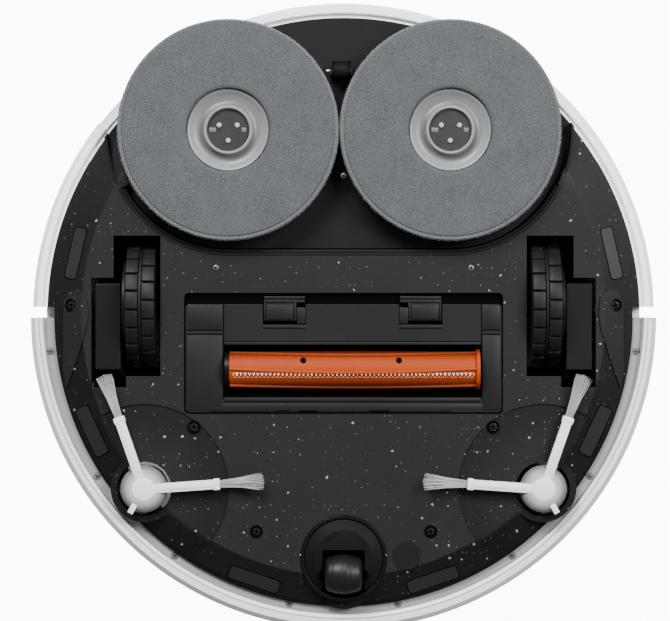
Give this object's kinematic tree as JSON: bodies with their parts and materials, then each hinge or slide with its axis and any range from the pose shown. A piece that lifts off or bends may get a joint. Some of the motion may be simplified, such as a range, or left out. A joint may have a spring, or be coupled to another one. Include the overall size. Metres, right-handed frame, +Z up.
{
  "type": "robot vacuum",
  "caption": "Round robot vacuum on two drive wheels and a caster, with a main brush, side brushes and turning mop pads.",
  "frame": {"origin": "on the floor under the middle of the body", "axes": "+Z up, bumper towards -Y, mop pads towards +Y"},
  "size_m": [0.35, 0.3505, 0.096],
  "materials": {
    "base_plastic": "moulded recycled plastic with pale flecks",
    "bay_plastic": "moulded matte black",
    "shell_white": "satin white",
    "bumper_grey": "satin light grey",
    "window_black": "polished infrared-clear black",
    "sensor_window": "polished dark window",
    "socket_black": "matte black",
    "swivel_black": "semi-gloss black",
    "mop_fabric": "heathered microfibre loops",
    "mop_plate_grey": "translucent light grey",
    "inner_plastic": "moulded dark grey",
    "screw_dark": "blackened",
    "screw_bright": "zinc plated",
    "axle_steel": "ground",
    "tread_rubber": "matte rubber",
    "wheel_plastic": "moulded black",
    "brush_orange": "soft orange rubber",
    "brush_bristle": "nylon bristle",
    "sweep_white": "satin light grey",
    "sweep_bristle": "nylon bristle",
    "guard_plastic": "moulded recycled plastic with pale flecks",
    "latch_plastic": "moulded dark grey",
    "button_grey": "satin",
    "bin_clear": "smoked translucent",
    "filter_paper": "pleated filter",
    "battery_wrap": "shrink sleeve",
    "board_green": "printed board",
    "contact_metal": "plated"
  },
  "bodies": {
    "chassis": {"base_plate": "base_plastic", "base_screws": "screw_dark", "battery": "battery_wrap", "bin_lid_pin": "axle_steel", "bright_screws": "screw_bright", "brush_guard": "guard_plastic", "brush_housing": "inner_plastic", "brush_motors": "inner_plastic", "bumper_switches": "inner_plastic", "carpet_sensor": "sensor_window", "caster_socket": "socket_black", "charging_contacts": "contact_metal", "cliff_windows": "sensor_window", "dust_bin": "bin_clear", "dust_filter": "filter_paper", "fan_housing": "inner_plastic", "inner_frame": "inner_plastic", "laser_motor": "inner_plastic", "main_board": "board_green", "mop_bay_panel": "bay_plastic", "rear_roller_pin": "axle_steel", "rear_shell": "shell_white", "side_leaf_plates": "bay_plastic", "top_cover": "shell_white", "turret_cover": "shell_white", "water_tank": "bin_clear", "wheel_brackets": "inner_plastic", "wheel_springs": "axle_steel"},
    "bumper": {"bumper": "bumper_grey", "bumper_screws": "screw_bright", "front_window": "window_black"},
    "left_arm": {"left_wheel_gearbox": "wheel_plastic"},
    "right_arm": {"right_wheel_gearbox": "wheel_plastic"},
    "left_wheel": {"left_tyre": "tread_rubber", "left_wheel_hub": "wheel_plastic"},
    "right_wheel": {"right_tyre": "tread_rubber", "right_wheel_hub": "wheel_plastic"},
    "left_sweep": {"left_side_brush": "sweep_white", "left_brush_bristles": "sweep_bristle"},
    "right_sweep": {"right_side_brush": "sweep_white", "right_brush_bristles": "sweep_bristle"},
    "main_brush": {"brush_core": "brush_orange", "brush_bristles": "brush_bristle", "brush_end_cap": "socket_black"},
    "left_latch": {"left_guard_latch": "latch_plastic"},
    "right_latch": {"right_guard_latch": "latch_plastic"},
    "mop_carriage": {"mop_drive": "inner_plastic"},
    "left_mop": {"left_mop_plate": "mop_plate_grey", "left_mop_pad": "mop_fabric"},
    "right_mop": {"right_mop_plate": "mop_plate_grey", "right_mop_pad": "mop_fabric"},
    "caster": {"caster_fork": "swivel_black", "caster_axle": "axle_steel"},
    "caster_roller": {"caster_wheel": "wheel_plastic"},
    "dock_roller": {"rear_roller": "wheel_plastic"},
    "laser": {"laser_head": "window_black"},
    "fan": {"fan_impeller": "inner_plastic"},
    "power_key": {"power_button": "button_grey"},
    "home_key": {"home_button": "button_grey"},
    "lid": {"bin_lid": "shell_white"}
  },
  "joints": [
    {"name": "bumper_travel", "type": "slide", "parent": "chassis", "child": "bumper", "axis": [0, 1, 0], "range_m": [0, 0.004], "stiffness_N_per_m": 1200, "springref_m": -0.002},
    {"name": "left_suspension", "type": "hinge", "parent": "chassis", "child": "left_arm", "pos_m": [0.131, -0.031, 0.03], "axis": [-1, 0, 0], "range_deg": [0, 20], "stiffness_Nm_per_rad": 0.2, "springref_deg": 34.38},
    {"name": "left_wheel_spin", "type": "hinge", "parent": "left_arm", "child": "left_wheel", "pos_m": [0.1127, 0.005, 0.035], "axis": [1, 0, 0], "continuous": true},
    {"name": "left_sweep_spin", "type": "hinge", "parent": "chassis", "child": "left_sweep", "pos_m": [0.1107, -0.097, 0.0075], "axis": [0, 0, 1], "continuous": true},
    {"name": "right_suspension", "type": "hinge", "parent": "chassis", "child": "right_arm", "pos_m": [-0.131, -0.031, 0.03], "axis": [-1, 0, 0], "range_deg": [0, 20], "stiffness_Nm_per_rad": 0.2, "springref_deg": 34.38},
    {"name": "right_wheel_spin", "type": "hinge", "parent": "right_arm", "child": "right_wheel", "pos_m": [-0.1127, 0.005, 0.035], "axis": [1, 0, 0], "continuous": true},
    {"name": "right_sweep_spin", "type": "hinge", "parent": "chassis", "child": "right_sweep", "pos_m": [-0.1107, -0.097, 0.0075], "axis": [0, 0, 1], "continuous": true},
    {"name": "main_brush_spin", "type": "hinge", "parent": "chassis", "child": "main_brush", "pos_m": [0, -0.031, 0.0142], "axis": [1, 0, 0], "continuous": true},
    {"name": "left_latch_slide", "type": "slide", "parent": "chassis", "child": "left_latch", "axis": [0, -1, 0], "range_m": [0, 0.002], "stiffness_N_per_m": 200, "springref_m": -0.002},
    {"name": "right_latch_slide", "type": "slide", "parent": "chassis", "child": "right_latch", "axis": [0, -1, 0], "range_m": [0, 0.002], "stiffness_N_per_m": 200, "springref_m": -0.002},
    {"name": "mop_lift", "type": "slide", "parent": "chassis", "child": "mop_carriage", "axis": [0, 0, 1], "range_m": [0, 0.008]},
    {"name": "left_mop_spin", "type": "hinge", "parent": "mop_carriage", "child": "left_mop", "pos_m": [0.0638, 0.1017, 0.005], "axis": [0, 0, 1], "continuous": true},
    {"name": "right_mop_spin", "type": "hinge", "parent": "mop_carriage", "child": "right_mop", "pos_m": [-0.059, 0.1017, 0.005], "axis": [0, 0, 1], "continuous": true},
    {"name": "caster_swivel", "type": "hinge", "parent": "chassis", "child": "caster", "pos_m": [0, -0.1357, 0.03], "axis": [0, 0, 1], "continuous": true},
    {"name": "caster_wheel_spin", "type": "hinge", "parent": "caster", "child": "caster_roller", "pos_m": [0, -0.1447, 0.0113], "axis": [1, 0, 0], "continuous": true},
    {"name": "rear_roller_spin", "type": "hinge", "parent": "chassis", "child": "dock_roller", "pos_m": [0.0012, 0.135, 0.0115], "axis": [1, 0, 0], "continuous": true},
    {"name": "laser_spin", "type": "hinge", "parent": "chassis", "child": "laser", "pos_m": [0, 0.045, 0.08], "axis": [0, 0, 1], "continuous": true},
    {"name": "fan_spin", "type": "hinge", "parent": "chassis", "child": "fan", "pos_m": [-0.046, 0.0585, 0.03], "axis": [0, 0, 1], "continuous": true},
    {"name": "power_press", "type": "slide", "parent": "chassis", "child": "power_key", "axis": [0, 0, -1], "range_m": [0, 0.0008], "stiffness_N_per_m": 600, "springref_m": -0.0005},
    {"name": "home_press", "type": "slide", "parent": "chassis", "child": "home_key", "axis": [0, 0, -1], "range_m": [0, 0.0008], "stiffness_N_per_m": 600, "springref_m": -0.0005},
    {"name": "lid_open", "type": "hinge", "parent": "chassis", "child": "lid", "pos_m": [0, -0.032, 0.0774], "axis": [-1, 0, 0], "range_deg": [0, 95]}
  ],
  "couplings": [
    {"joint": "right_mop_spin", "follows": "left_mop_spin", "ratio": -1}
  ]
}
